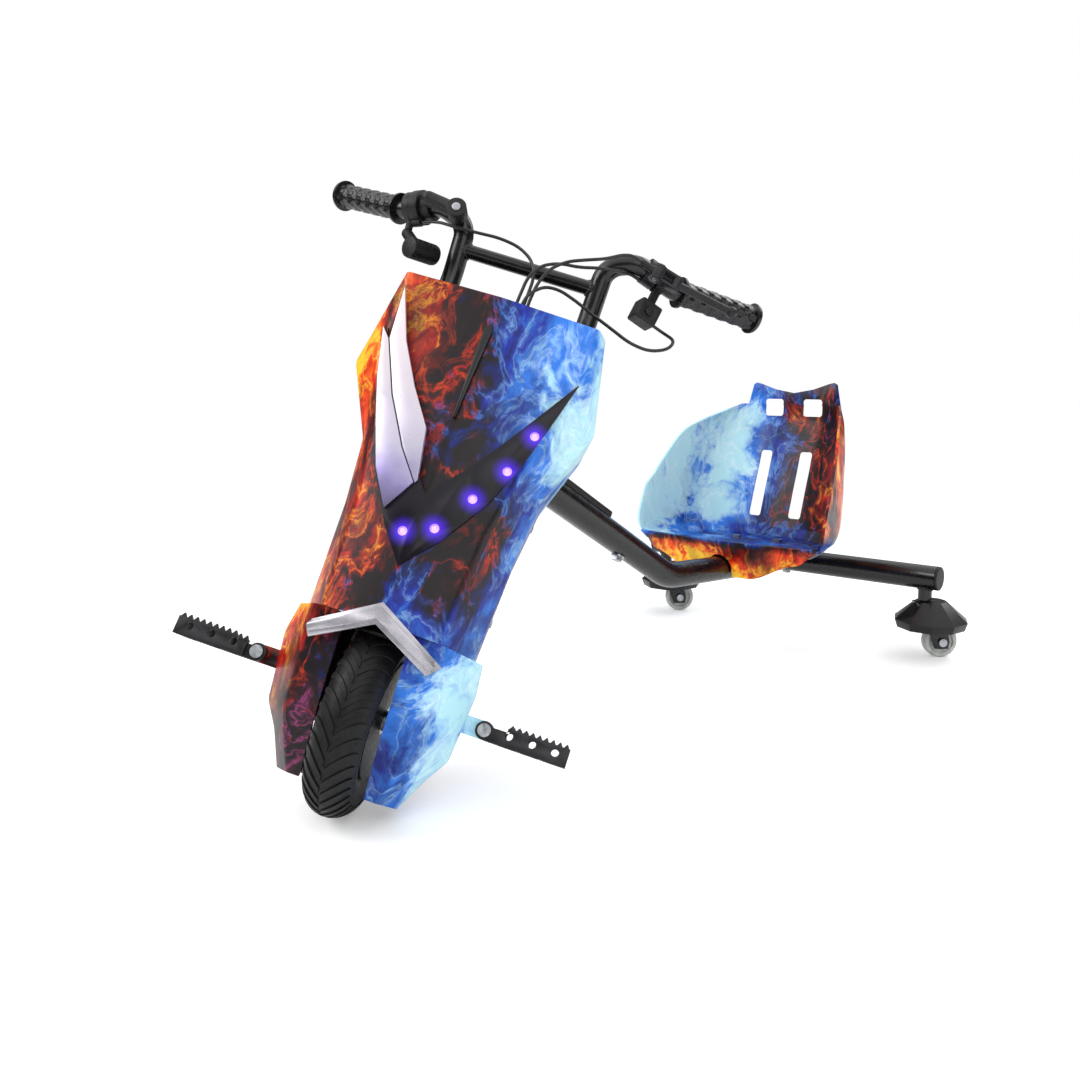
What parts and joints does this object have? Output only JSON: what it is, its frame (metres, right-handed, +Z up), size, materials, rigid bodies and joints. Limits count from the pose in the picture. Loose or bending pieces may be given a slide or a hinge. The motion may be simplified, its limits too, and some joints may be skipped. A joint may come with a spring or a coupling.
{
  "type": "electric drift trike",
  "caption": "Low three-wheeled electric drift trike with a steered front hub wheel, bucket seat and swivelling rear casters.",
  "frame": {"origin": "on the floor, at the middle of the trike's length and width as it stands", "axes": "+Z up, -Y the way it drives, +X the rider's left; the front is turned 36.5 degrees to the rider's left, as pictured"},
  "size_m": [0.5758, 1.0466, 0.6568],
  "materials": {
    "black_painted_steel": "gloss",
    "zinc_steel": "satin",
    "chrome_steel": "polished",
    "cast_aluminium": "satin",
    "black_plastic": "matte",
    "black_gloss_plastic": "gloss",
    "printed_plastic": "gloss",
    "printed_seat_plastic": "gloss",
    "silver_plastic": "gloss",
    "lamp_lens": "gloss",
    "tyre_rubber": "matte",
    "soft_rubber": "matte",
    "wheel_plastic": "satin",
    "copper_laminate": "satin",
    "cable_sheath": "satin",
    "black_aluminium": "satin"
  },
  "bodies": {
    "rear_frame": {"main_tube": "black_painted_steel", "head_tube": "black_painted_steel", "head_bearings": "zinc_steel", "cable_strip": "black_plastic", "rear_beam": "black_painted_steel", "beam_end_caps": "black_plastic", "caster_stems": "black_painted_steel", "seat_shell": "printed_seat_plastic", "seat_bracket": "black_painted_steel", "frame_bolts": "zinc_steel"},
    "front_assembly": {"fork": "black_painted_steel", "handlebar_yoke": "black_painted_steel", "steerer_nut": "zinc_steel", "handlebar": "black_painted_steel", "grip_left": "soft_rubber", "grip_right": "soft_rubber", "front_cover": "printed_plastic", "wheel_side_cover_left": "printed_plastic", "wheel_side_cover_right": "printed_plastic", "arch_trim": "silver_plastic", "v_panel": "black_gloss_plastic", "v_blades": "silver_plastic", "led_lenses": "lamp_lens", "front_fin": "black_gloss_plastic", "rear_covers": "black_plastic", "top_cover": "black_plastic", "cover_screws": "zinc_steel", "mudguard": "black_plastic", "battery": "black_plastic", "controller": "black_plastic", "front_axle": "zinc_steel", "motor_stator": "copper_laminate", "axle_nuts": "zinc_steel", "brake_perch": "black_aluminium", "brake_pivot": "zinc_steel", "throttle_housing": "black_plastic", "mode_pod": "black_plastic", "switch_box": "black_plastic", "control_leads": "cable_sheath", "cable_grommet": "soft_rubber", "peg_brackets": "black_painted_steel", "peg_pins": "zinc_steel"},
    "front_wheel": {"hub_shell": "cast_aluminium", "hub_cover": "cast_aluminium", "hub_bearings": "zinc_steel", "front_tyre": "tyre_rubber"},
    "caster_left": {"caster_fork_left": "black_painted_steel", "caster_hood_left": "black_gloss_plastic", "caster_axle_left": "zinc_steel"},
    "caster_right": {"caster_fork_right": "black_painted_steel", "caster_hood_right": "black_gloss_plastic", "caster_axle_right": "zinc_steel"},
    "caster_wheel_left": {"caster_wheel_left": "wheel_plastic"},
    "caster_wheel_right": {"caster_wheel_right": "wheel_plastic"},
    "foot_peg_left": {"foot_peg_left": "black_aluminium"},
    "foot_peg_right": {"foot_peg_right": "black_aluminium"},
    "brake_lever": {"brake_lever": "black_aluminium"},
    "throttle_paddle": {"throttle_paddle": "black_plastic"},
    "mode_button": {"mode_button": "silver_plastic"},
    "horn_button": {"horn_button": "silver_plastic"}
  },
  "joints": [
    {"name": "steering", "type": "hinge", "parent": "rear_frame", "child": "front_assembly", "pos_m": [-0.00766, -0.40866, 0.09856], "axis": [0, 0.5, 0.866], "range_deg": [-86.5, 13.5]},
    {"name": "front_wheel_spin", "type": "hinge", "parent": "front_assembly", "child": "front_wheel", "pos_m": [-0.00766, -0.40866, 0.09856], "axis": [0.8039, 0.5151, -0.2974], "continuous": true},
    {"name": "caster_swivel_left", "type": "hinge", "parent": "rear_frame", "child": "caster_left", "pos_m": [0.22634, 0.46443, 0.08], "axis": [0, 0, 1], "continuous": true},
    {"name": "caster_swivel_right", "type": "hinge", "parent": "rear_frame", "child": "caster_right", "pos_m": [-0.24166, 0.46443, 0.08], "axis": [0, 0, 1], "continuous": true},
    {"name": "caster_wheel_spin_left", "type": "hinge", "parent": "caster_left", "child": "caster_wheel_left", "pos_m": [0.24472, 0.47986, 0.025], "axis": [0.6428, -0.766, 0], "continuous": true},
    {"name": "caster_wheel_spin_right", "type": "hinge", "parent": "caster_right", "child": "caster_wheel_right", "pos_m": [-0.22328, 0.47986, 0.025], "axis": [0.6428, -0.766, 0], "continuous": true},
    {"name": "foot_peg_fold_left", "type": "hinge", "parent": "front_assembly", "child": "foot_peg_left", "pos_m": [0.08978, -0.33845, 0.08343], "axis": [0.5948, -0.6962, 0.4019], "range_deg": [0, 80]},
    {"name": "foot_peg_fold_right", "type": "hinge", "parent": "front_assembly", "child": "foot_peg_right", "pos_m": [-0.10154, -0.46105, 0.15421], "axis": [-0.5948, 0.6962, -0.4019], "range_deg": [0, 80]},
    {"name": "brake_lever_pull", "type": "hinge", "parent": "front_assembly", "child": "brake_lever", "pos_m": [0.13839, -0.11866, 0.53455], "axis": [0.1062, 0.5637, 0.8191], "range_deg": [0, 12], "stiffness_Nm_per_rad": 0.6, "springref_deg": -11.46},
    {"name": "throttle_push", "type": "hinge", "parent": "front_assembly", "child": "throttle_paddle", "pos_m": [-0.10273, -0.23908, 0.61265], "axis": [-0.9729, -0.2311, -0.0051], "range_deg": [0, 40], "stiffness_Nm_per_rad": 0.15, "springref_deg": -17.19},
    {"name": "mode_button_press", "type": "slide", "parent": "front_assembly", "child": "mode_button", "axis": [-0.5948, 0.6962, -0.4019], "range_m": [0, 0.0015], "stiffness_N_per_m": 300, "springref_m": -0.001},
    {"name": "horn_button_press", "type": "slide", "parent": "front_assembly", "child": "horn_button", "axis": [-0.8744, 0.4452, -0.193], "range_m": [0, 0.0015], "stiffness_N_per_m": 300, "springref_m": -0.001}
  ]
}
